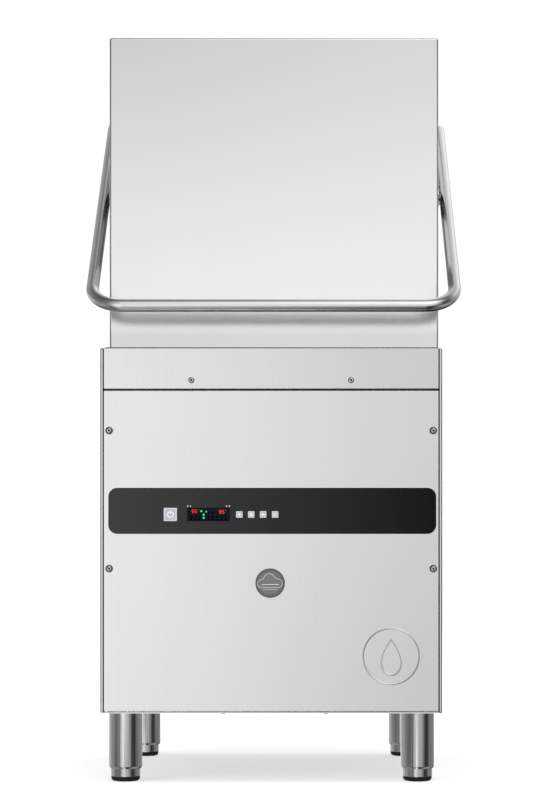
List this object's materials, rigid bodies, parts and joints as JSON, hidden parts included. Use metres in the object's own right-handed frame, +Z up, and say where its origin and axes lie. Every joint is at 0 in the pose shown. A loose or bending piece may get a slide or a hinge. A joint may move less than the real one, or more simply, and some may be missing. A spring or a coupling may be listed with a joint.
{
  "type": "commercial dishwasher",
  "caption": "Hood-type commercial dishwasher: a stainless cabinet on legs, with a square hood that a bail handle lifts and a control strip.",
  "frame": {"origin": "on the floor, under the middle of the machine's bounding box", "axes": "+Z up, +Y towards the machine's back, +X towards the right of someone facing its front"},
  "size_m": [0.7038, 0.768, 1.42],
  "materials": {
    "stainless_steel": "fine brushed",
    "polished_steel": "polished",
    "black_plastic": "satin black",
    "rubber": "matt black",
    "key_grey": "pale grey",
    "nylon": "natural white",
    "painted_grey": "grey paint",
    "badge_grey": "dark printed foil"
  },
  "bodies": {
    "cabinet": {"base_frame": "stainless_steel", "left_side_panel": "stainless_steel", "right_side_panel": "stainless_steel", "rear_panel": "stainless_steel", "front_panel": "stainless_steel", "front_fascia": "stainless_steel", "control_overlay": "black_plastic", "control_unit": "black_plastic", "round_badge": "badge_grey", "panel_screw_upper_left": "polished_steel", "panel_screw_upper_right": "polished_steel", "panel_screw_lower_left": "polished_steel", "panel_screw_lower_right": "polished_steel", "fascia_screw_left": "polished_steel", "fascia_screw_right": "polished_steel", "leg_front_left": "polished_steel", "leg_front_right": "polished_steel", "leg_rear_left": "polished_steel", "leg_rear_right": "polished_steel", "wash_tank": "stainless_steel", "filter_tray": "stainless_steel", "rack_guide": "polished_steel", "tank_heater": "polished_steel", "spray_riser": "stainless_steel", "wash_pump": "painted_grey", "rinse_boiler": "stainless_steel", "electrical_box": "painted_grey", "rear_column": "stainless_steel", "guide_rail_left": "polished_steel", "guide_rail_right": "polished_steel", "pivot_bearing_left": "nylon", "pivot_bearing_right": "nylon", "balance_spring_left": "polished_steel", "balance_spring_right": "polished_steel"},
    "hood": {"hood_shell": "stainless_steel", "handle_track_left": "stainless_steel", "handle_track_right": "stainless_steel", "guide_shoe_left": "nylon", "guide_shoe_right": "nylon"},
    "handle": {"hood_handle": "polished_steel", "lift_shaft": "polished_steel"},
    "roller_left": {"track_roller_left": "nylon"},
    "roller_right": {"track_roller_right": "nylon"},
    "lower_wash_arm": {"lower_wash_arm": "polished_steel"},
    "lower_rinse_arm": {"lower_rinse_arm": "polished_steel"},
    "upper_wash_arm": {"upper_wash_arm": "polished_steel"},
    "upper_rinse_arm": {"upper_rinse_arm": "polished_steel"},
    "start_button": {"start_button": "key_grey"},
    "key_1": {"key_1": "key_grey"},
    "key_2": {"key_2": "key_grey"},
    "key_3": {"key_3": "key_grey"},
    "key_4": {"key_4": "key_grey"},
    "foot_front_left": {"levelling_foot_front_left": "polished_steel", "foot_pad_front_left": "rubber"},
    "foot_front_right": {"levelling_foot_front_right": "polished_steel", "foot_pad_front_right": "rubber"},
    "foot_rear_left": {"levelling_foot_rear_left": "polished_steel", "foot_pad_rear_left": "rubber"},
    "foot_rear_right": {"levelling_foot_rear_right": "polished_steel", "foot_pad_rear_right": "rubber"}
  },
  "joints": [
    {"name": "hood_lift", "type": "slide", "parent": "cabinet", "child": "hood", "axis": [0, 0, 1], "range_m": [0, 0.4]},
    {"name": "handle_swing", "type": "hinge", "parent": "cabinet", "child": "handle", "pos_m": [0, 0.328, 1.334], "axis": [-1, 0, 0], "range_deg": [0, 54.31], "deforming": ["balance_spring_left", "balance_spring_right"]},
    {"name": "roller_spin_left", "type": "hinge", "parent": "handle", "child": "roller_left", "pos_m": [-0.32185, -0.068, 1.14582], "axis": [1, 0, 0], "continuous": true},
    {"name": "roller_spin_right", "type": "hinge", "parent": "handle", "child": "roller_right", "pos_m": [0.32185, -0.068, 1.14582], "axis": [1, 0, 0], "continuous": true},
    {"name": "lower_wash_arm_spin", "type": "hinge", "parent": "cabinet", "child": "lower_wash_arm", "pos_m": [-0.005, 0.002, 0.784], "axis": [0, 0, 1], "continuous": true},
    {"name": "lower_rinse_arm_spin", "type": "hinge", "parent": "cabinet", "child": "lower_rinse_arm", "pos_m": [-0.005, 0.002, 0.801], "axis": [0, 0, 1], "continuous": true},
    {"name": "upper_wash_arm_spin", "type": "hinge", "parent": "cabinet", "child": "upper_wash_arm", "pos_m": [-0.005, 0.002, 1.33], "axis": [0, 0, 1], "continuous": true},
    {"name": "upper_rinse_arm_spin", "type": "hinge", "parent": "cabinet", "child": "upper_rinse_arm", "pos_m": [-0.005, 0.002, 1.311], "axis": [0, 0, 1], "continuous": true},
    {"name": "start_button_press", "type": "slide", "parent": "cabinet", "child": "start_button", "axis": [0, 1, 0], "range_m": [0, 0.001], "stiffness_N_per_m": 800},
    {"name": "key_1_press", "type": "slide", "parent": "cabinet", "child": "key_1", "axis": [0, 1, 0], "range_m": [0, 0.001], "stiffness_N_per_m": 800},
    {"name": "key_2_press", "type": "slide", "parent": "cabinet", "child": "key_2", "axis": [0, 1, 0], "range_m": [0, 0.001], "stiffness_N_per_m": 800},
    {"name": "key_3_press", "type": "slide", "parent": "cabinet", "child": "key_3", "axis": [0, 1, 0], "range_m": [0, 0.001], "stiffness_N_per_m": 800},
    {"name": "key_4_press", "type": "slide", "parent": "cabinet", "child": "key_4", "axis": [0, 1, 0], "range_m": [0, 0.001], "stiffness_N_per_m": 800},
    {"name": "foot_front_left_screw", "type": "slide", "parent": "cabinet", "child": "foot_front_left", "axis": [0, 0, 1], "range_m": [-0.03, 0]},
    {"name": "foot_front_right_screw", "type": "slide", "parent": "cabinet", "child": "foot_front_right", "axis": [0, 0, 1], "range_m": [-0.03, 0]},
    {"name": "foot_rear_left_screw", "type": "slide", "parent": "cabinet", "child": "foot_rear_left", "axis": [0, 0, 1], "range_m": [-0.03, 0]},
    {"name": "foot_rear_right_screw", "type": "slide", "parent": "cabinet", "child": "foot_rear_right", "axis": [0, 0, 1], "range_m": [-0.03, 0]}
  ],
  "couplings": [
    {"joint": "handle_swing", "follows": "hood_lift", "rad_per_m": 2.3696}
  ]
}
